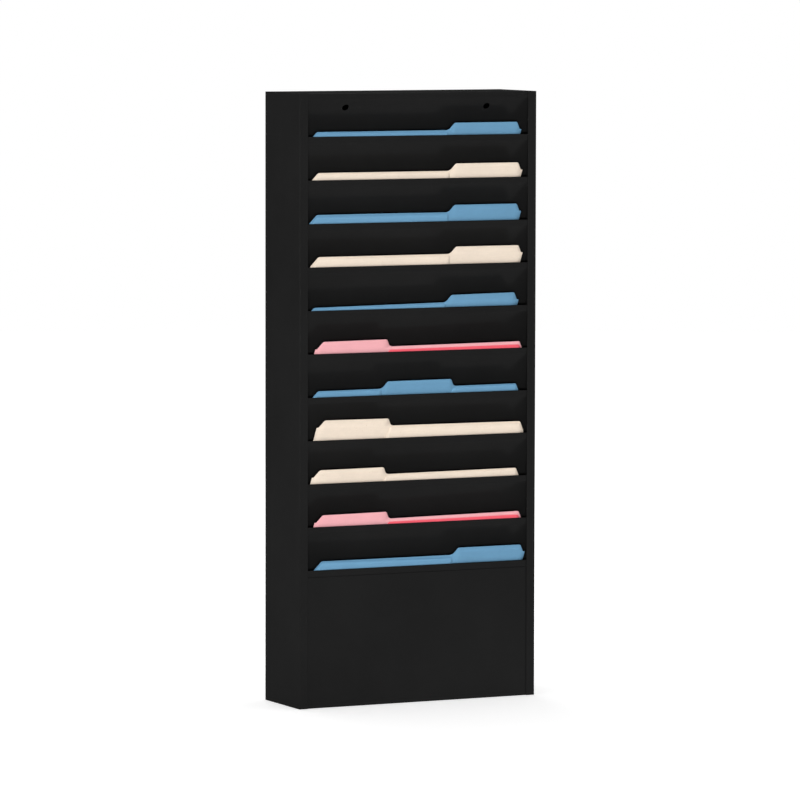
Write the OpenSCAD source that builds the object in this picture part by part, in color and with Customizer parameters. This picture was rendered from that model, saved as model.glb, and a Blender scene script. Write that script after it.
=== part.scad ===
// Wall rack of folded steel sheet with a column of sloping file pockets, and the card folders in it.
// X runs across the rack, Y from the front to the wall, Z up. The origin is mid-way along X and Y,
// on the plane that the rack stands on.

/* [Rack] */
// Width across the side panels
rack_w = 336; // [320:1:420]
// Depth from the front flanges to the wall
rack_d = 105; // [90:1:130]
// Height from one lip to the next
pocket_pitch = 55; // [45:1:90]
// Thickness of the steel sheet
sheet_t = 0.9; // [0.7:0.1:1.5]
// Inner radius of an ordinary bend
bend_r = 1; // [0.5:0.1:2]
// Gap inside a closed hem
hem_gap = 0.3; // [0.1:0.1:0.6]
// Gap between the side walls and the ends of the sheets between them
fit_gap = 0.1; // [0.05:0.05:0.5]

/* [Side panels] */
// Width of the front flanges
flange_w = 12; // [10:0.5:18]
// Width of the folded-back part of a front flange
flange_hem_w = 6; // [4:0.5:8]
// Width of the rear flanges
rear_flange_w = 18; // [10:1:40]

/* [Dividers] */
// Height of the upright lip
lip_h = 7.5; // [5:0.5:15]
// Height of the folded-back part of a lip
lip_hem_h = 5.5; // [3.5:0.5:8]
// Lean of the plates from upright, in degrees
plate_angle = 31; // [27:1:38]
// Height of the foot above the trough, against the back panel
foot_h = 14; // [8:1:25]
// Width of the weld flanges at the ends of a plate
weld_flange_w = 9; // [5:1:14]
// Distance from a weld flange to the lip bend and to the trough
weld_flange_end = 16; // [10:1:40]

/* [Lower panels] */
// Clear height between the base panel and the lowest trough
floor_gap = 5; // [3:1:30]
// Width of the bottom front panel's side returns
panel_return = 12; // [8:1:18]
// Height of the base panel's flanges
base_flange_h = 12; // [8:1:20]

/* [Wall fixing] */
// Distance between the two wall-screw holes
hole_spacing = 200; // [120:1:240]
// Height of the screw holes below the top of the rack
hole_drop = 18.5; // [16:0.5:25]
// Diameter of the wall-screw holes in the back panel
wall_hole_d = 6.5; // [4:0.5:8]
// Diameter of the access holes in the header
access_hole_d = 9; // [7:0.5:10]
// Height of the header's rear flange
header_flange_h = 9; // [6:0.5:11]

/* [Folders] */
// Width of a folder
folder_w = 298.5; // [240:0.5:300]
// Thickness of the card
card_t = 0.4; // [0.3:0.1:0.6]
// Gap between the two leaves of a closed folder
leaf_gap = 1.2; // [0.6:0.2:3]
// Clearance between a folder and what it rests on
seat_gap = 0.3; // [0.2:0.1:1]
// Width of a tab at its foot
tab_w = 102; // [70:1:110]
// Height of a tab above the body of the leaf
tab_h = 11; // [8:0.5:16]
// Width of the sloping end of a tab, on its inner side
tab_ramp = 6; // [4:0.5:12]
// Width of the sloping end of a tab, beside the edge of the leaf
tab_end = 6.5; // [4:0.5:12]
// Distance from an outer tab's foot to the side edge of the leaf
tab_inset = 2.5; // [2:0.5:8]
// Radius of the top corners of a tab
tab_r = 3.5; // [2:0.5:5]
// Radius of the fillet at the foot of a tab
tab_foot_r = 7; // [2:0.5:8]
// Width of the sloping cut at a free top corner of a leaf
corner_w = 8.5; // [4:0.5:15]
// Height of the sloping cut at a free top corner of a leaf
corner_h = 14.5; // [6:0.5:20]
// Radius at both ends of a corner's cut
corner_r = 3.5; // [1:0.5:6]
// Depth of the cut in the front leaf that uncovers the tab
front_cut = 24; // [14:1:60]

/* [Hidden] */
// One entry for each pocket, from the top: colour of its folder
folder_colour = ["blue", "tan", "blue", "tan", "blue", "pink", "blue", "tan", "tan", "pink", "blue"];
// Place of the tab, -1 at the left, 0 in the middle and 1 at the right
tab_place = [1, 1, 1, 1, 1, -1, 0, -1, -1, -1, 1];
// Height of the tab's edge above the lip, along the slope
tab_rise = [17, 21, 23.5, 25.5, 14.5, 17.5, 19.5, 28, 20, 17, 23.5];
// Sideways place of the folder in its pocket
folder_shift = [-1.5, -1, -3.5, -1.5, -2.5, 6, 0, 2, 0.5, 6, 3.5];
// Tilt of the folder in its own plane, in degrees, with the right end up
folder_tilt = [0.1, 0, 0, 0, 0.85, 0.5, 0.25, -0.4, 0.4, 0.7, 0];
// Height of the front leaf's edge below the back leaf's, at the free side and beside the tab
free_drop = [0.5, 1.5, 2.5, 1.5, 1, 4, 1.5, 1.5, 1.5, 4.5, 0.5];
tab_drop = [2.5, 1.5, 1.5, 1.5, 1.5, 4, 1.5, 1.5, 1.5, 4, 3.5];
pocket_count = len(folder_colour);

card_colours = [["blue", "#6a9cc4"], ["tan", "#ecdcc8"], ["pink", "#f4a9b4"]];
two_tone_front = [["blue", "#6a9cc4"], ["tan", "#ecdcc8"], ["pink", "#f0506a"]];
coat = "#212121";

function two_digits(n) = n < 10 ? str("0", n) : str(n);
DIVIDERS = [for (i = [1 : pocket_count]) str("divider_", two_digits(i))];
FOLDERS = [for (i = [1 : pocket_count]) str("file_folder_", two_digits(i))];

$fn = 48;

// Planes that the sheets share, front to back
front_y = -rack_d / 2;
wall_y = rack_d / 2;
inner_w = rack_w - 2 * sheet_t;
between_w = inner_w - 2 * fit_gap;
lip_y = front_y + 2 * sheet_t + hem_gap;
lip_mid_y = lip_y + sheet_t / 2;
back_front_y = wall_y - 2 * sheet_t;
foot_mid_y = back_front_y - sheet_t / 2;

// Centreline radii of the bends
bend_mid_r = bend_r + sheet_t / 2;
hem_mid_r = (sheet_t + hem_gap) / 2;
fold_r = card_t + leaf_gap / 2;
trough_mid_r = fold_r + seat_gap + sheet_t / 2;
trough_out_r = trough_mid_r + sheet_t / 2;

// Heights, from the base panel up to the top
plate_drop = (foot_mid_y - lip_mid_y) / tan(plate_angle);
trough_rise = trough_mid_r / tan(plate_angle / 2);
lowest_lip_z = sheet_t + floor_gap + trough_out_r - trough_rise + plate_drop + lip_h;
rack_h = lowest_lip_z + pocket_count * pocket_pitch;
function lip_z(i) = rack_h - i * pocket_pitch;
function plate_top(i) = [lip_mid_y, lip_z(i) - lip_h];
function trough_corner(i) = plate_top(i) + [foot_mid_y - lip_mid_y, -plate_drop];
function trough_centre(i) = trough_corner(i) + [-trough_mid_r, trough_rise];
plate_along = [sin(plate_angle), -cos(plate_angle)];
plate_normal = [cos(plate_angle), sin(plate_angle)];
plate_len = plate_drop / cos(plate_angle);

// Underside of the lowest plate, where the front panel and the base panel stop short of it
under_plate = sheet_t / 2 / sin(plate_angle);
panel_top_z = plate_top(pocket_count)[1] - under_plate - sheet_t / 2 / tan(plate_angle) - fit_gap;
base_flange_end_y = lip_mid_y
    + (plate_top(pocket_count)[1] - under_plate - base_flange_h - floor_gap / 2) * tan(plate_angle);

// Lean of a folder that stands in the trough and leans on the hem of the lip
hem_out_r = sheet_t + hem_gap / 2;
function hem_centre(i) = [lip_y + hem_out_r, lip_z(i) - hem_out_r];
lean_run = hem_centre(1) - trough_centre(1);
lean_reach = norm(lean_run);
lean_offset = hem_out_r + seat_gap + fold_r;
folder_lean = atan2(-lean_run[0], lean_run[1]) - asin(lean_offset / lean_reach);
lip_reach = lean_reach * cos(asin(lean_offset / lean_reach));

// Screw holes through the back panel, and their access holes on the slope of the header
hole_z = rack_h - hole_drop;
access_s = (hole_drop - lip_h) / cos(plate_angle);
access_hole = plate_top(0) + access_s * plate_along;

// Outline helpers
function unit(v) = v / norm(v);
function left_of(v) = [-v[1], v[0]];
function turned(v, a) = [v[0] * cos(a) - v[1] * sin(a), v[0] * sin(a) + v[1] * cos(a)];

// Points with left-hand normals along a bend of radius r at corner b of the path a, b, c
function bend(a, b, c, r) =
    let (u = unit(b - a),
         v = unit(c - b),
         turn = atan2(cross(u, v), u * v),
         centre = b - u * r * tan(abs(turn) / 2) + left_of(u) * r * sign(turn),
         steps = max(2, ceil(abs(turn) / 15)))
    [for (k = [0 : steps])
        let (out = turned(left_of(u), turn * k / steps))
        [centre - out * r * sign(turn), out]];

// Points with left-hand normals along a whole path, with one radius for each inner corner
function centreline(path, radii) =
    let (last = len(path) - 1)
    concat(
        [[path[0], left_of(unit(path[1] - path[0]))]],
        [for (k = [1 : last - 1]) each bend(path[k - 1], path[k], path[k + 1], radii[k - 1])],
        [[path[last], left_of(unit(path[last] - path[last - 1]))]]);

// Outline with every corner [x, y, r] rounded to its radius
function rounded(corners) =
    let (count = len(corners), at = [for (c = corners) [c[0], c[1]]])
    [for (k = [0 : count - 1])
        each corners[k][2] == 0
            ? [at[k]]
            : [for (p = bend(at[(k + count - 1) % count], at[k], at[(k + 1) % count], corners[k][2])) p[0]]];

// Section of a bent sheet that follows a path
module bent_sheet(path, radii) {
    line = centreline(path, radii);
    half = sheet_t / 2;
    polygon(concat(
        [for (p = line) p[0] + p[1] * half],
        [for (k = [len(line) - 1 : -1 : 0]) line[k][0] - line[k][1] * half]));
}

// Turns a section drawn in Y and Z into a solid along X, centred
module along_x(length) {
    rotate([90, 0, 90]) linear_extrude(length, center = true) children();
}

module side_panel() {
    wall_x = -rack_w / 2 + sheet_t / 2;
    edge_x = -rack_w / 2 + flange_w - sheet_t / 2;
    flange_y = front_y + sheet_t / 2;
    hem_y = flange_y + 2 * hem_mid_r;
    rear_y = wall_y - sheet_t / 2;
    color(coat) linear_extrude(rack_h) bent_sheet(
        [[edge_x - flange_hem_w, hem_y], [edge_x, hem_y], [edge_x, flange_y], [wall_x, flange_y],
         [wall_x, rear_y], [-rack_w / 2 + rear_flange_w, rear_y]],
        [hem_mid_r, hem_mid_r, bend_mid_r, bend_mid_r]);
}

module left_side_panel() {
    side_panel();
}

module right_side_panel() {
    mirror([1, 0, 0]) side_panel();
}

module back_panel() {
    panel_w = between_w - 2 * bend_r;
    color(coat) difference() {
        translate([-panel_w / 2, back_front_y, 0]) cube([panel_w, sheet_t, rack_h]);
        for (side = [-1, 1])
            translate([side * hole_spacing / 2, back_front_y - 1, hole_z])
                rotate([-90, 0, 0]) cylinder(d = wall_hole_d, h = sheet_t + 2);
    }
}

// Weld flanges at both ends of a sloping plate, on its upper side
module weld_flanges(i) {
    start = weld_flange_end;
    end = plate_len - weld_flange_end;
    outline = [
        plate_top(i) + start * plate_along,
        plate_top(i) + end * plate_along,
        plate_top(i) + (end - weld_flange_w) * plate_along + weld_flange_w * plate_normal,
        plate_top(i) + (start + weld_flange_w) * plate_along + weld_flange_w * plate_normal];
    for (side = [-1, 1])
        translate([side * (between_w - sheet_t) / 2, 0, 0]) along_x(sheet_t) polygon(outline);
}

module divider(i) {
    hem_y = lip_mid_y + 2 * hem_mid_r;
    hem_z = lip_z(i) - sheet_t / 2;
    foot = trough_corner(i);
    color(coat) {
        along_x(between_w) bent_sheet(
            [[hem_y, hem_z - lip_hem_h], [hem_y, hem_z], [lip_mid_y, hem_z], plate_top(i), foot,
             foot + [0, trough_rise + foot_h]],
            [hem_mid_r, hem_mid_r, bend_mid_r, trough_mid_r]);
        weld_flanges(i);
    }
}

// Top, header and the slope above the first pocket in one sheet
module header_panel() {
    top_z = rack_h - sheet_t / 2;
    foot = trough_corner(0);
    color(coat) difference() {
        union() {
            along_x(between_w) bent_sheet(
                [[foot_mid_y, rack_h - header_flange_h], [foot_mid_y, top_z], [lip_mid_y, top_z],
                 plate_top(0), foot, foot + [0, trough_rise + foot_h]],
                [bend_mid_r, bend_mid_r, bend_mid_r, trough_mid_r]);
            weld_flanges(0);
        }
        for (side = [-1, 1])
            translate([side * hole_spacing / 2, access_hole[0], access_hole[1]])
                rotate([plate_angle - 90, 0, 0])
                    cylinder(d = access_hole_d, h = 4 * sheet_t, center = true);
    }
}

module bottom_front_panel() {
    edge_x = (between_w - sheet_t) / 2;
    rear_y = lip_y + panel_return;
    cut_y = lip_y + sheet_t;
    color(coat) difference() {
        linear_extrude(panel_top_z) bent_sheet(
            [[-edge_x, rear_y], [-edge_x, lip_mid_y], [edge_x, lip_mid_y], [edge_x, rear_y]],
            [bend_mid_r, bend_mid_r]);
        along_x(rack_w) polygon([
            [cut_y, panel_top_z], [cut_y + panel_return, panel_top_z - panel_return / tan(plate_angle)],
            [cut_y + panel_return, panel_top_z + 1], [cut_y, panel_top_z + 1]]);
    }
}

module base_panel() {
    front = lip_y + 1.5 * sheet_t;
    rear = back_front_y - fit_gap;
    mid_z = sheet_t / 2;
    edge_x = (between_w - sheet_t) / 2;
    flange_start_y = lip_y + panel_return + 1;
    front_w = between_w - 2 * (sheet_t + bend_r + fit_gap);
    color(coat) {
        along_x(front_w) bent_sheet(
            [[front, base_flange_h], [front, mid_z], [rear, mid_z]], [bend_mid_r]);
        translate([0, base_flange_end_y, 0]) rotate([90, 0, 0])
            linear_extrude(base_flange_end_y - flange_start_y) bent_sheet(
                [[-edge_x, base_flange_h], [-edge_x, mid_z], [edge_x, mid_z], [edge_x, base_flange_h]],
                [bend_mid_r, bend_mid_r]);
    }
}

// Sloping cuts at the free top corners of a leaf of height h
function right_corner(h) =
    [[folder_w / 2, h - corner_h, corner_r], [folder_w / 2 - corner_w, h, corner_r]];
function left_corner(h) =
    [[corner_w - folder_w / 2, h, corner_r], [-folder_w / 2, h - corner_h, corner_r]];

// Right end of a tab's foot, for a tab at the right (place 1) or in the middle (place 0)
function tab_right(place) = place == 0 ? tab_w / 2 : folder_w / 2 - tab_inset;

// Back leaf of a folder, with its tab
function back_outline(body_h, place) =
    let (half = folder_w / 2,
         foot_r = tab_right(place),
         foot_l = foot_r - tab_w,
         slope = place == 0 ? tab_ramp : tab_end)
    rounded(concat(
        [[-half, 0, 0], [half, 0, 0]],
        place == 0 ? right_corner(body_h) : [[half, body_h, 0.3 * tab_inset]],
        [[foot_r, body_h, place == 0 ? tab_foot_r : 0.6 * tab_inset],
         [foot_r - slope, body_h + tab_h, tab_r],
         [foot_l + tab_ramp, body_h + tab_h, tab_r],
         [foot_l, body_h, tab_foot_r]],
        left_corner(body_h)));

// Front leaf, cut down in front of the tab, with its edge at free_h and beside the tab at near_h
function front_outline(free_h, near_h, place) =
    let (half = folder_w / 2,
         cut_h = free_h - front_cut,
         cut_l = tab_right(place) - tab_w,
         run = front_cut / 4)
    rounded(concat(
        [[-half, 0, 0], [half, 0, 0]],
        place == 0
            ? concat(right_corner(free_h), [[-cut_l, near_h, tab_r], [-cut_l - run, cut_h, tab_r]])
            : [[half, cut_h, tab_r]],
        [[cut_l + run, cut_h, tab_r], [cut_l, near_h, tab_r]],
        left_corner(free_h)));

// Upright card of a given outline, with its rear face at y
module card(outline, y) {
    translate([0, y, 0]) rotate([90, 0, 0]) linear_extrude(card_t) polygon(outline);
}

module file_folder(i) {
    k = i - 1;
    body_h = lip_reach + tab_rise[k] - tab_h;
    lift = folder_w / 2 * sin(abs(folder_tilt[k]));
    which = search([folder_colour[k]], card_colours)[0];
    seat = trough_centre(i);
    translate([folder_shift[k], seat[0], seat[1]])
        rotate([folder_lean, 0, 0])
            translate([0, 0, lift])
                rotate([0, -folder_tilt[k], 0])
                    mirror([tab_place[k] < 0 ? 1 : 0, 0, 0]) {
        color(card_colours[which][1]) {
            card(back_outline(body_h, abs(tab_place[k])), fold_r);
            along_x(folder_w) difference() {
                circle(r = fold_r);
                circle(r = fold_r - card_t);
                translate([-fold_r, 0]) square([2 * fold_r, fold_r]);
            }
        }
        color(two_tone_front[which][1])
            card(
                front_outline(body_h - free_drop[k], body_h - tab_drop[k], abs(tab_place[k])),
                card_t - fold_r);
    }
}

left_side_panel();
right_side_panel();
back_panel();
header_panel();
for (i = [1 : pocket_count])
    divider(i);
bottom_front_panel();
base_panel();
for (i = [1 : pocket_count])
    file_folder(i);
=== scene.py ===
"""Looks of the wall file rack: coated steel sheets from the frame, and card folders modelled here."""
import math

import bmesh
import bpy
from mathutils import Matrix, Vector, noise


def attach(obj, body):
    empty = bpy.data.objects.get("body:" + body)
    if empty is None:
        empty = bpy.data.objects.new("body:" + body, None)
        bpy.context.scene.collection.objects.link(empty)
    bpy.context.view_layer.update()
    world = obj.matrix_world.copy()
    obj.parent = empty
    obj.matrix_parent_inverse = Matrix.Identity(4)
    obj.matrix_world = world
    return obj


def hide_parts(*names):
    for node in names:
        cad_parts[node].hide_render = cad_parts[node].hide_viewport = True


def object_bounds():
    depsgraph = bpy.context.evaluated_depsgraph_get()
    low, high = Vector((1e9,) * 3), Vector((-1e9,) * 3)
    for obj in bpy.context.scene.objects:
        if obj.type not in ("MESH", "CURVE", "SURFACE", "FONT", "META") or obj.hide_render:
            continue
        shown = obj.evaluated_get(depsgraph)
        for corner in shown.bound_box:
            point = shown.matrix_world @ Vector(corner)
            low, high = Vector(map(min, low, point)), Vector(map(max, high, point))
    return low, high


MM = 0.001

# The frame
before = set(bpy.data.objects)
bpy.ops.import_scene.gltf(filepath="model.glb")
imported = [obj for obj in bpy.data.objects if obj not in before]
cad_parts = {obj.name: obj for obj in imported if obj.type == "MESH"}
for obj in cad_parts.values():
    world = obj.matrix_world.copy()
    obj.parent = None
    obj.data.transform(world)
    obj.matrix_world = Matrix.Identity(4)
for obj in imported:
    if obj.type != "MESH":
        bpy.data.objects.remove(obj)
cad_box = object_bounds()

# Sizes of the rack, in millimetres: its back and top from the frame, the others as in part.scad
WALL_Y = cad_box[1][1] / MM
RACK_H = cad_box[1][2] / MM
PITCH = 55.0
SHEET_T = 0.9
HEM_GAP = 0.3
LIP_H = 7.5
PLATE_ANGLE = math.radians(31)

# Sizes of the folders, as in part.scad
FOLDER_W = 298.5
CARD_T = 0.4
LEAF_GAP = 1.2
SEAT_GAP = 0.3
TAB_W = 102.0
TAB_H = 11.0
TAB_RAMP = 6.0
TAB_END = 6.5
TAB_INSET = 2.5
TAB_R = 3.5
TAB_FOOT_R = 7.0
STEP_OUTER_R = 0.3 * TAB_INSET
STEP_INNER_R = 0.6 * TAB_INSET
CORNER_W = 8.5
CORNER_H = 14.5
CORNER_R = 3.5
FRONT_CUT = 24.0
FRONT_CUT_RUN = FRONT_CUT / 4

# The folders from the top down, as in part.scad; a tab is at the right (1), middle (0) or left (-1)
FOLDER_COLOUR = ["blue", "tan", "blue", "tan", "blue", "pink", "blue", "tan", "tan", "pink", "blue"]
TAB_PLACE = [1, 1, 1, 1, 1, -1, 0, -1, -1, -1, 1]
TAB_RISE = [17, 21, 23.5, 25.5, 14.5, 17.5, 19.5, 28, 20, 17, 23.5]
FOLDER_SHIFT = [-1.5, -1, -3.5, -1.5, -2.5, 6, 0, 2, 0.5, 6, 3.5]
FOLDER_TILT = [0.1, 0, 0, 0, 0.85, 0.5, 0.25, -0.4, 0.4, 0.7, 0]
FREE_DROP = [0.5, 1.5, 2.5, 1.5, 1, 4, 1.5, 1.5, 1.5, 4.5, 0.5]
TAB_DROP = [2.5, 1.5, 1.5, 1.5, 1.5, 4, 1.5, 1.5, 1.5, 4, 3.5]

# How far each front leaf leans back at its top edge, towards the back leaf
CLOSING = [0.3, 0.95, 0.4, 0.95, 0.95, 0.6, 0.95, 0.95, 0.95, 0.6, 0.0]

# What the card does by itself: waves in the back leaf, a hollow in the front leaf, and score lines
WAVE_REACH = 200.0
BACK_WAVE = 0.25
BACK_WAVE_W = 90.0
FRONT_HOLLOW = 0.30
FRONT_WAVE_W = 70.0
SCORES = (7.0, 12.0, 17.0)
SCORE_DEPTH = 0.14
SCORE_HALF_W = 0.7

# Where the waves differ from folder to folder and from leaf to leaf
SEED_STEP = 3.7
FRONT_SEED = 9

# How finely a folder's sheet is divided
ARC_STEP = math.radians(12)
COLUMN_W = 14
COLUMNS_EACH_SIDE = 10
ROW_H = 16
ROWS = 14
FIRST_FRONT_ROW = 24
FOLD_STEPS = 10

# Points nearer than this are one, and points this near to a cut are on it
SAME_POINT = 1e-4
ON_CUT = 1e-5

# Places worked out as in part.scad
LIP_Y = -WALL_Y + 2 * SHEET_T + HEM_GAP
LIP_MID_Y = LIP_Y + SHEET_T / 2
FOOT_MID_Y = WALL_Y - 2.5 * SHEET_T
FOLD_R = CARD_T + LEAF_GAP / 2
TROUGH_MID_R = FOLD_R + SEAT_GAP + SHEET_T / 2
PLATE_DROP = (FOOT_MID_Y - LIP_MID_Y) / math.tan(PLATE_ANGLE)
TROUGH_RISE = TROUGH_MID_R / math.tan(PLATE_ANGLE / 2)
HEM_OUT_R = SHEET_T + HEM_GAP / 2

# The fold, along the middle of the card's thickness
FOLD_MID_R = FOLD_R - CARD_T / 2
FOLD_LEN = math.pi * FOLD_MID_R


def lip_z(i):
    return RACK_H - i * PITCH


def trough_centre(i):
    return (FOOT_MID_Y - TROUGH_MID_R, lip_z(i) - LIP_H - PLATE_DROP + TROUGH_RISE)


# A folder leans on the hem of its lip and stands in its trough
LEAN_RUN = (LIP_Y + HEM_OUT_R - trough_centre(1)[0], lip_z(1) - HEM_OUT_R - trough_centre(1)[1])
LEAN_REACH = math.hypot(*LEAN_RUN)
LEAN_TURN = math.asin((HEM_OUT_R + SEAT_GAP + FOLD_R) / LEAN_REACH)
FOLDER_LEAN = math.atan2(-LEAN_RUN[0], LEAN_RUN[1]) - LEAN_TURN
LIP_REACH = LEAN_REACH * math.cos(LEAN_TURN)

# The camera, fitted to the photo's edges: radians, metres, and millimetres for the lens
CAMERA_YAW = math.radians(26.101)
CAMERA_PITCH = math.radians(4.589)
CAMERA_ROLL = math.radians(0.1084)
CAMERA_SENSOR = 36
CAMERA_LENS = 251.96
CAMERA_CLIP_END = 200
CAMERA_AIM = (0, 0, 0.3905)
CAMERA_DISTANCE = 7.195
CAMERA_TO_RIGHT = -0.00099
CAMERA_TO_TOP = -0.00577

# The floor and the lamps, in metres and watts
FLOOR_R = 7
FLOOR_SIDES = 96
FLOOR_DROP = 0.0003
FLOOR_GLOW_NEAR = 0.55
FLOOR_GLOW_FAR = 0.95
FLOOR_GLOW_AS_LIGHT = 0.13
WORLD_FILL = 0.12
LAMP_AIM = (0, 0, 0.40)
ORIGIN = (0, 0, 0)

# Rounding and wear of the sheet edges, in metres
WELD_REACH = 0.00001
SOFT_EDGE_R = 0.00018
SOFT_EDGE_STEPS = 2
SOFT_EDGE_ANGLE = math.radians(40)
WORN_EDGE_R = 0.0006


# The camera
def make_camera():
    ahead = Vector((
        math.sin(CAMERA_YAW) * math.cos(CAMERA_PITCH),
        math.cos(CAMERA_YAW) * math.cos(CAMERA_PITCH),
        -math.sin(CAMERA_PITCH)))
    level = Vector((math.cos(CAMERA_YAW), -math.sin(CAMERA_YAW), 0))
    above = level.cross(ahead)
    right = level * math.cos(CAMERA_ROLL) + above * math.sin(CAMERA_ROLL)
    up = above * math.cos(CAMERA_ROLL) - level * math.sin(CAMERA_ROLL)
    place = Vector(CAMERA_AIM) - ahead * CAMERA_DISTANCE + right * CAMERA_TO_RIGHT + up * CAMERA_TO_TOP
    data = bpy.data.cameras.new("camera")
    data.sensor_width = CAMERA_SENSOR
    data.lens = CAMERA_LENS
    data.clip_end = CAMERA_CLIP_END
    camera = bpy.data.objects.new("camera", data)
    bpy.context.scene.collection.objects.link(camera)
    camera.matrix_world = Matrix((
        (right.x, up.x, -ahead.x, place.x),
        (right.y, up.y, -ahead.y, place.y),
        (right.z, up.z, -ahead.z, place.z),
        (0, 0, 0, 1)))
    bpy.context.scene.camera = camera


# Node helpers
class Tree:
    """Short ways to make and join the shader nodes of a material or a world."""

    def __init__(self, owner):
        owner.use_nodes = True
        self.owner = owner
        self.nodes = owner.node_tree.nodes
        self.links = owner.node_tree.links
        self.nodes.clear()

    def node(self, kind, inputs=None, **settings):
        made = self.nodes.new("ShaderNode" + kind)
        for key, value in settings.items():
            setattr(made, key, value)
        for key, value in (inputs or {}).items():
            self.put(made.inputs[key], value)
        return made

    def put(self, socket, value):
        if isinstance(value, bpy.types.NodeSocket):
            self.links.new(value, socket)
        else:
            socket.default_value = value

    def place(self):
        return self.node("TexCoord").outputs["Object"]

    def stretched(self, vector, scale):
        return self.node("Mapping", {"Vector": vector, "Scale": scale}).outputs["Vector"]

    def noise(self, vector, scale, detail=2.0, roughness=0.5):
        inputs = {"Vector": vector, "Scale": scale, "Detail": detail, "Roughness": roughness}
        return self.node("TexNoise", inputs).outputs["Fac"]

    def ramp(self, value, low, high, to_low=0.0, to_high=1.0):
        inputs = {"Value": value, "From Min": low, "From Max": high, "To Min": to_low, "To Max": to_high}
        return self.node("MapRange", inputs).outputs["Result"]

    def spread(self, noise_value, to_low=0.0, to_high=1.0):
        """Ramp over the range that most of a noise lies in."""
        return self.ramp(noise_value, 0.3, 0.7, to_low, to_high)

    def arithmetic(self, operation, a, b):
        return self.node("Math", {0: a, 1: b}, operation=operation).outputs[0]

    def times(self, a, b):
        return self.arithmetic("MULTIPLY", a, b)

    def plus(self, a, b):
        return self.arithmetic("ADD", a, b)

    def mix(self, factor, a, b):
        made = self.node("Mix", {"Factor": factor}, data_type="RGBA")
        self.put(made.inputs[6], a)
        self.put(made.inputs[7], b)
        return made.outputs[2]

    def bump(self, height, strength, distance):
        inputs = {"Height": height, "Strength": strength, "Distance": distance}
        return self.node("Bump", inputs).outputs["Normal"]

    def edge(self, radius):
        """0 on a face, rising to 1 at a sharp edge."""
        soft = self.node("Bevel", {"Radius": radius}, samples=4).outputs["Normal"]
        flat = self.node("NewGeometry").outputs["Normal"]
        dot = self.node("VectorMath", {0: soft, 1: flat}, operation="DOT_PRODUCT")
        return self.ramp(dot.outputs["Value"], low=0.995, high=0.8)

    def seen(self):
        """1 for a ray from the camera, a reflection or glass, and 0 for one that only carries light."""
        ray = self.node("LightPath").outputs
        direct = self.arithmetic("MAXIMUM", ray["Is Camera Ray"], ray["Is Glossy Ray"])
        return self.arithmetic("MAXIMUM", direct, ray["Is Transmission Ray"])

    def end(self, shader, kind="OutputMaterial"):
        self.node(kind, {"Surface": shader.outputs[0]})
        return self.owner

    def finish(self, inputs):
        return self.end(self.node("BsdfPrincipled", inputs))


def new_material(name):
    return Tree(bpy.data.materials.new(name))


def linear(hex_colour):
    values = [int(hex_colour[k:k + 2], 16) / 255 for k in (1, 3, 5)]
    return [v / 12.92 if v <= 0.04045 else ((v + 0.055) / 1.055) ** 2.4 for v in values]


def scaled(colour, factor):
    return [min(1.0, v * factor) for v in colour]


def shade(colour, factor=1.0):
    return (*scaled(colour, factor), 1.0)


def grey(value):
    return (value, value, value, 1.0)


BLACK = grey(0)
WHITE = grey(1)


# Materials
def powder_coat():
    """Satin black coat on steel: fine orange peel, a thin clear gloss, and paler at worn edges."""
    t = new_material("powder_coat")
    at = t.place()
    peel = t.noise(at, scale=900, detail=2, roughness=0.55)
    grain = t.noise(at, scale=3200, detail=1)
    cloud = t.noise(at, scale=9, detail=3, roughness=0.6)
    patches = t.noise(at, scale=60, detail=4, roughness=0.7)
    worn = t.times(t.edge(WORN_EDGE_R), t.ramp(patches, 0.35, 0.65, 0.25, 1.0))
    base = linear("#1d1d1d")
    tone = t.mix(t.spread(cloud), shade(base, 0.90), shade(base, 1.10))
    tone = t.mix(t.ramp(grain, 0.25, 0.75), t.mix(0.12, tone, BLACK), tone)
    tone = t.mix(t.times(worn, 0.55), tone, shade(base, 3.0))
    gloss = t.spread(cloud, 0.56, 0.64)
    gloss = t.plus(gloss, t.spread(peel, -0.03, 0.03))
    gloss = t.plus(gloss, t.times(worn, -0.10))
    relief = t.bump(t.plus(peel, t.times(grain, 0.3)), strength=0.35, distance=0.00006)
    return t.finish({
        "Base Color": tone, "Roughness": gloss, "Normal": relief, "Diffuse Roughness": 0.6,
        "Specular IOR Level": 0.0, "Coat Weight": 0.015, "Coat Roughness": 0.17, "Coat IOR": 3.0,
        "Coat Normal": relief})


def card(name, colour, fleck, rough=0.82):
    """Folder card: long pressed fibres, a mottled dye and a few darker or paler flecks."""
    t = new_material(name)
    at = t.place()
    fibre = t.noise(t.stretched(at, (90, 420, 420)), scale=1, detail=4, roughness=0.65)
    cross = t.noise(t.stretched(at, (700, 130, 130)), scale=1, detail=3, roughness=0.6)
    cloud = t.noise(at, scale=22, detail=4, roughness=0.6)
    tooth = t.noise(at, scale=2600, detail=2, roughness=0.6)
    specks = t.noise(at, scale=520, detail=1)
    tone = t.mix(t.spread(cloud), shade(colour, 0.965), shade(colour, 1.03))
    tone = t.mix(t.ramp(fibre, 0.45, 0.75, 0.0, 0.35), tone, shade(colour, 1.14))
    tone = t.mix(t.ramp(cross, 0.52, 0.78, 0.0, 0.30), tone, shade(colour, 0.88))
    tone = t.mix(t.ramp(specks, 0.70, 0.76, 0.0, 0.35), tone, shade(fleck))
    relief = t.bump(t.plus(tooth, t.times(fibre, 1.5)), strength=0.30, distance=0.00009)
    gloss = t.spread(fibre, rough - 0.04, rough + 0.05)
    return t.finish({
        "Base Color": tone, "Roughness": gloss, "Normal": relief, "Specular IOR Level": 0.3})


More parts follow.
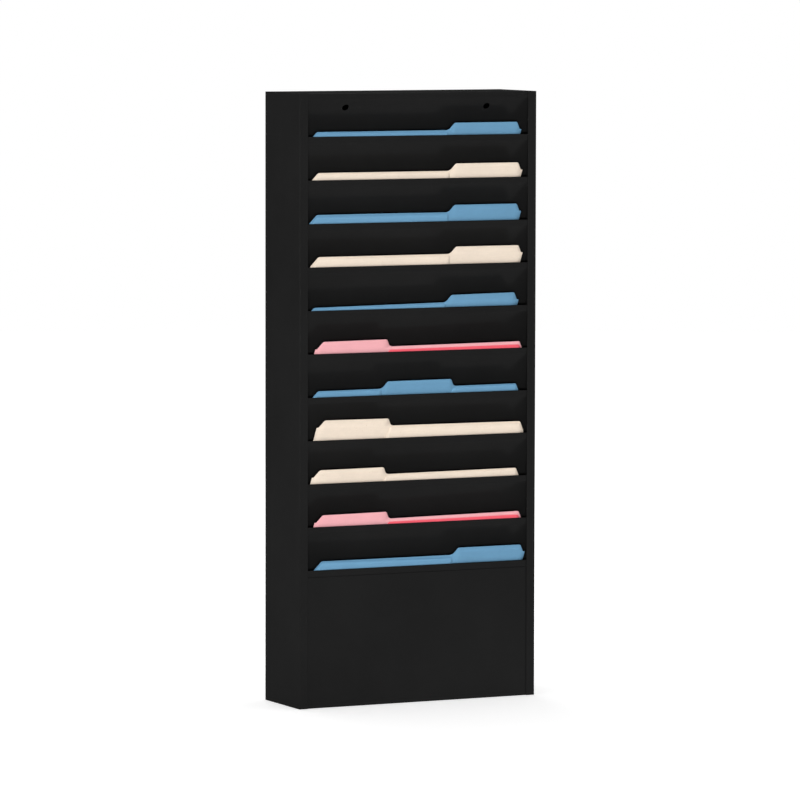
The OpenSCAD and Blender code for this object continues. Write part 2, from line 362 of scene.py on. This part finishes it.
def blue_card():
    """Outside, inside and cut edge, as for the two other cards."""
    blue = linear("#6b9cbe")
    fleck = linear("#5a8cb6")
    return (card("card_blue", blue, fleck),
            # The inside is the outside's blue painted 7% darker: painted shade on the card's inner face
            card("card_blue_inside_painted_shade", scaled(blue, 0.93), fleck),
            card("card_blue_edge", scaled(blue, 1.18), linear("#a9c6de"), rough=0.9))


def tan_card():
    tan = linear("#efdfcd")
    fleck = linear("#d9c3a4")
    return (card("card_tan", tan, fleck),
            # The inside is the outside's tan painted 1% darker: painted shade on the card's inner face
            card("card_tan_inside_painted_shade", scaled(tan, 0.99), fleck),
            card("card_tan_edge", scaled(tan, 1.06), linear("#e6d6bc"), rough=0.9))


def pink_card():
    """Card of two colours: red outside and pink inside."""
    return (card("card_red_outside", linear("#ff6474"), linear("#dd4560")),
            card("card_pink", linear("#f3afb5"), linear("#ee98a6")),
            card("card_pink_edge", linear("#f8c3ca"), linear("#f6b4bd"), rough=0.9))


def floor_material():
    """Lit white floor: plain white to the eye where nothing shades it, darker in the rack's shadow."""
    t = new_material("studio_floor")
    at = t.place()
    far = t.node("VectorMath", {0: at}, operation="LENGTH").outputs["Value"]
    cloud = t.noise(at, scale=5, detail=3)
    paint = t.mix(t.spread(cloud), grey(0.79), grey(0.81))
    matte = t.node("BsdfPrincipled", {"Base Color": paint, "Roughness": 0.9, "Specular IOR Level": 0.0})
    shown = t.ramp(far, 0.3, 2.5, FLOOR_GLOW_NEAR, FLOOR_GLOW_FAR)
    strength = t.ramp(t.seen(), 0.0, 1.0, FLOOR_GLOW_AS_LIGHT, shown)
    glow = t.node("Emission", {"Color": WHITE, "Strength": strength})
    return t.end(t.node("AddShader", {0: matte.outputs[0], 1: glow.outputs[0]}))


# Stage and light
def make_floor():
    angles = [math.tau * k / FLOOR_SIDES for k in range(FLOOR_SIDES)]
    ring = [(FLOOR_R * math.cos(a), FLOOR_R * math.sin(a), -FLOOR_DROP) for a in angles]
    mesh = bpy.data.meshes.new("studio_floor")
    mesh.from_pydata(ring, [], [list(range(FLOOR_SIDES))])
    mesh.materials.append(floor_material())
    floor = bpy.data.objects.new("studio_floor", mesh)
    bpy.context.scene.collection.objects.link(floor)


def make_world():
    """White to the eye, and a weak even fill as light."""
    world = bpy.data.worlds.new("studio_world")
    bpy.context.scene.world = world
    t = Tree(world)
    fill = t.node("Background", {"Color": WHITE, "Strength": WORLD_FILL})
    white = t.node("Background", {"Color": WHITE, "Strength": 1.0})
    both = t.node("MixShader", {0: t.seen(), 1: fill.outputs[0], 2: white.outputs[0]})
    t.end(both, "OutputWorld")


def area_light(name, place, aim, size, watts, highlight=True):
    data = bpy.data.lights.new(name, "AREA")
    data.shape = "RECTANGLE"
    data.size, data.size_y = size
    data.energy = watts
    lamp = bpy.data.objects.new(name, data)
    bpy.context.scene.collection.objects.link(lamp)
    lamp.location = place
    lamp.visible_glossy = highlight
    lamp.rotation_euler = (Vector(aim) - Vector(place)).to_track_quat("-Z", "Y").to_euler()


def make_lights():
    # The front lamp would show as a bright line along the left corner bend, so reflections leave it out
    area_light("front", (-3.0, -6.3, 0.35), LAMP_AIM, size=(1.6, 0.6), watts=355, highlight=False)
    area_light("left", (-2.7, -0.4, 0.5), LAMP_AIM, size=(0.8, 0.8), watts=3.2)
    area_light("right", (2.7, -0.4, 0.5), LAMP_AIM, size=(0.8, 0.8), watts=4)
    area_light("top", (0, 0, 2.4), ORIGIN, size=(1.6, 1.6), watts=30)
    area_light("rear", (0.2, 2.4, 2.0), LAMP_AIM, size=(1.6, 1.2), watts=20)


# Outlines of the folders' leaves
def turned(v, angle):
    return Vector((
        v.x * math.cos(angle) - v.y * math.sin(angle),
        v.x * math.sin(angle) + v.y * math.cos(angle)))


def corner_arc(a, b, c, r):
    """Points of an arc of radius r that rounds the corner b of a, b, c."""
    u = (b - a).normalized()
    v = (c - b).normalized()
    turn = math.atan2(u.x * v.y - u.y * v.x, u.dot(v))
    to_centre = Vector((-u.y, u.x))
    reach = r if turn > 0 else -r
    centre = b - u * (r * math.tan(abs(turn) / 2)) + to_centre * reach
    steps = max(3, math.ceil(abs(turn) / ARC_STEP))
    return [centre - turned(to_centre, turn * k / steps) * reach for k in range(steps + 1)]


def rounded(corners):
    """Outline with each corner (x, y, r) rounded."""
    at = [Vector((x, y)) for x, y, _ in corners]
    out = []
    for k, (_, _, r) in enumerate(corners):
        if r == 0:
            out.append(at[k])
        else:
            out += corner_arc(at[k - 1], at[k], at[(k + 1) % len(at)], r)
    return out


def right_corner(h):
    return [(FOLDER_W / 2, h - CORNER_H, CORNER_R), (FOLDER_W / 2 - CORNER_W, h, CORNER_R)]


def left_corner(h):
    return [(CORNER_W - FOLDER_W / 2, h, CORNER_R), (-FOLDER_W / 2, h - CORNER_H, CORNER_R)]


def tab_right(in_middle):
    return TAB_W / 2 if in_middle else FOLDER_W / 2 - TAB_INSET


ENDS_OF_FOLD = [(-FOLDER_W / 2, 0, 0), (FOLDER_W / 2, 0, 0)]


def back_outline(body_h, in_middle):
    """The back leaf, with its tab in the middle or at the right end."""
    tab_x = tab_right(in_middle)
    top = body_h + TAB_H
    if in_middle:
        right = right_corner(body_h)
        right += [(tab_x, body_h, TAB_FOOT_R), (tab_x - TAB_RAMP, top, TAB_R)]
    else:
        right = [(FOLDER_W / 2, body_h, STEP_OUTER_R), (tab_x, body_h, STEP_INNER_R)]
        right += [(tab_x - TAB_END, top, TAB_R)]
    left = [(tab_x - TAB_W + TAB_RAMP, top, TAB_R), (tab_x - TAB_W, body_h, TAB_FOOT_R)]
    return rounded(ENDS_OF_FOLD + right + left + left_corner(body_h))


def front_outline(free_h, near_h, in_middle):
    """The front leaf: free_h high at its free corners, near_h beside the tab, cut down before it."""
    cut_h = free_h - FRONT_CUT
    cut_x = tab_right(in_middle) - TAB_W
    if in_middle:
        right = right_corner(free_h)
        right += [(-cut_x, near_h, TAB_R), (-cut_x - FRONT_CUT_RUN, cut_h, TAB_R)]
    else:
        right = [(FOLDER_W / 2, cut_h, TAB_R)]
    left = [(cut_x + FRONT_CUT_RUN, cut_h, TAB_R), (cut_x, near_h, TAB_R)]
    return rounded(ENDS_OF_FOLD + right + left + left_corner(free_h))


def sheet_outline(k):
    """Folder k as a flat sheet: the back leaf above Y 0, and below it the fold and the front leaf."""
    body_h = LIP_REACH + TAB_RISE[k] - TAB_H
    in_middle = TAB_PLACE[k] == 0
    back = back_outline(body_h, in_middle)
    front = front_outline(body_h - FREE_DROP[k], body_h - TAB_DROP[k], in_middle)
    points = [(p.x, p.y) for p in back[1:]] + [(back[0].x, 0.0)]
    points += [(p.x, -FOLD_LEN - p.y) for p in [front[0]] + front[:0:-1]]
    clean = []
    for p in points:
        if not clean or math.dist(p, clean[-1]) > SAME_POINT:
            clean.append(p)
    return clean


# From the flat sheet to a folder
def flat_sheet(k):
    """Folder k's flat sheet, cut into rows and columns, closer at the fold and the score lines."""
    bm = bmesh.new()
    bm.faces.new([bm.verts.new((x, y, 0)) for x, y in sheet_outline(k)])

    def cut(place, normal):
        geometry = bm.verts[:] + bm.edges[:] + bm.faces[:]
        bmesh.ops.bisect_plane(bm, geom=geometry, dist=ON_CUT, plane_co=place, plane_no=normal)

    for column in range(-COLUMNS_EACH_SIDE, COLUMNS_EACH_SIDE + 1):
        cut((COLUMN_W * column, 0, 0), (1, 0, 0))
    rows = []
    for row in range(ROWS):
        rows += [ROW_H * (row + 1), -FOLD_LEN - FIRST_FRONT_ROW - ROW_H * row]
    rows += [-FOLD_LEN * step / FOLD_STEPS for step in range(FOLD_STEPS + 1)]
    rows += [-FOLD_LEN - s - side for s in SCORES for side in (-SCORE_HALF_W, 0.0, SCORE_HALF_W)]
    for y in rows:
        cut((0, y, 0), (0, 1, 0))
    bmesh.ops.triangulate(bm, faces=[f for f in bm.faces if len(f.verts) > 4])
    return bm


def folded(u, v, seed, closing):
    """Place of the flat sheet's point u, v once it is folded, and the outward direction there."""
    if v >= 0:
        rise = v / WAVE_REACH
        swell = 0.5 + noise.noise(Vector((u / BACK_WAVE_W, rise * 2, seed)))
        wave = BACK_WAVE * rise * rise * swell
        return Vector((u, FOLD_MID_R + wave, v)), Vector((0, 1, 0))
    if v > -FOLD_LEN:
        turn = -v / FOLD_MID_R
        out = Vector((0, math.cos(turn), -math.sin(turn)))
        return out * FOLD_MID_R + Vector((u, 0, 0)), out
    z = -FOLD_LEN - v
    rise = z / WAVE_REACH
    swell = 1 + 0.5 * noise.noise(Vector((u / FRONT_WAVE_W, rise * 2, seed + FRONT_SEED)))
    hollow = FRONT_HOLLOW * math.sin(min(1.0, rise) * math.pi) * swell
    groove = sum(SCORE_DEPTH * max(0.0, 1 - abs(z - s) / SCORE_HALF_W) for s in SCORES)
    lean = closing * min(1.0, rise) ** 2
    return Vector((u, -FOLD_MID_R + hollow + groove + lean, z)), Vector((0, -1, 0))


def pocket_place(k):
    """From folder k's millimetres to its seat in the pocket, mirrored for a tab at the left."""
    tilt = math.radians(FOLDER_TILT[k])
    lift = FOLDER_W / 2 * math.sin(abs(tilt))
    seat_y, seat_z = trough_centre(k + 1)
    mirror = -1 if TAB_PLACE[k] < 0 else 1
    return (Matrix.Translation((FOLDER_SHIFT[k] * MM, seat_y * MM, seat_z * MM))
            @ Matrix.Rotation(FOLDER_LEAN, 4, "X")
            @ Matrix.Translation((0, 0, lift * MM))
            @ Matrix.Rotation(-tilt, 4, "Y")
            @ Matrix.Diagonal((mirror * MM, MM, MM, 1)))


def thick_sheet(bm, count):
    """Faces of the thick sheet and their material slots: outside 0, inside 1 and cut edge 2."""
    polys, slots = [], []
    for face in bm.faces:
        ring = [v.index for v in face.verts]
        polys += [ring, [n + count for n in reversed(ring)]]
        slots += [0, 1]
    for edge in bm.edges:
        if len(edge.link_loops) == 1:
            loop = edge.link_loops[0]
            a, b = loop.vert.index, loop.link_loop_next.vert.index
            polys.append([b, a, a + count, b + count])
            slots.append(2)
    return polys, slots


def face_outward(mesh):
    bm = bmesh.new()
    bm.from_mesh(mesh)
    bmesh.ops.recalc_face_normals(bm, faces=bm.faces)
    bm.to_mesh(mesh)
    bm.free()


def folder_mesh(name, k):
    """Folder k, folded, thickened and in its pocket."""
    bm = flat_sheet(k)
    bm.verts.index_update()
    place = pocket_place(k)
    seed = SEED_STEP * (k + 1)
    outside, inside = [], []
    for v in bm.verts:
        at, out = folded(v.co.x, v.co.y, seed, CLOSING[k])
        outside.append(place @ (at + out * (CARD_T / 2)))
        inside.append(place @ (at - out * (CARD_T / 2)))
    polys, slots = thick_sheet(bm, len(outside))
    bm.free()
    if TAB_PLACE[k] < 0:
        polys = [list(reversed(p)) for p in polys]
    mesh = bpy.data.meshes.new(name)
    mesh.from_pydata(outside + inside, [], polys)
    mesh.polygons.foreach_set("material_index", slots)
    mesh.polygons.foreach_set("use_smooth", [s != 2 for s in slots])
    mesh.update()
    face_outward(mesh)
    return mesh


def make_folder(i, finishes):
    """One folded sheet of card, its outer face, inner face and cut edge each with a finish."""
    k = i - 1
    mesh = folder_mesh("card_folder_%02d" % i, k)
    for finish in finishes:
        mesh.materials.append(finish)
    piece = bpy.data.objects.new("card_folder_%02d" % i, mesh)
    bpy.context.scene.collection.objects.link(piece)
    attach(piece, "folder_%02d" % i)
    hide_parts("file_folder_%02d" % i)


def make_folders():
    finishes = {"blue": blue_card(), "tan": tan_card(), "pink": pink_card()}
    for i, colour in enumerate(FOLDER_COLOUR, start=1):
        make_folder(i, finishes[colour])


# The steel sheets
def dress_rack():
    """Coats every sheet of the frame and rounds its edges."""
    coat = powder_coat()
    for name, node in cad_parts.items():
        if name.startswith("file_folder"):
            continue
        node.data.materials.clear()
        node.data.materials.append(coat)
        weld = node.modifiers.new("weld", "WELD")
        weld.merge_threshold = WELD_REACH
        soft = node.modifiers.new("soft_edge", "BEVEL")
        soft.width = SOFT_EDGE_R
        soft.segments = SOFT_EDGE_STEPS
        soft.limit_method = "ANGLE"
        soft.angle_limit = SOFT_EDGE_ANGLE


make_camera()
make_floor()
make_world()
make_lights()
dress_rack()
make_folders()

view = bpy.context.scene.view_settings
view.view_transform = "Standard"
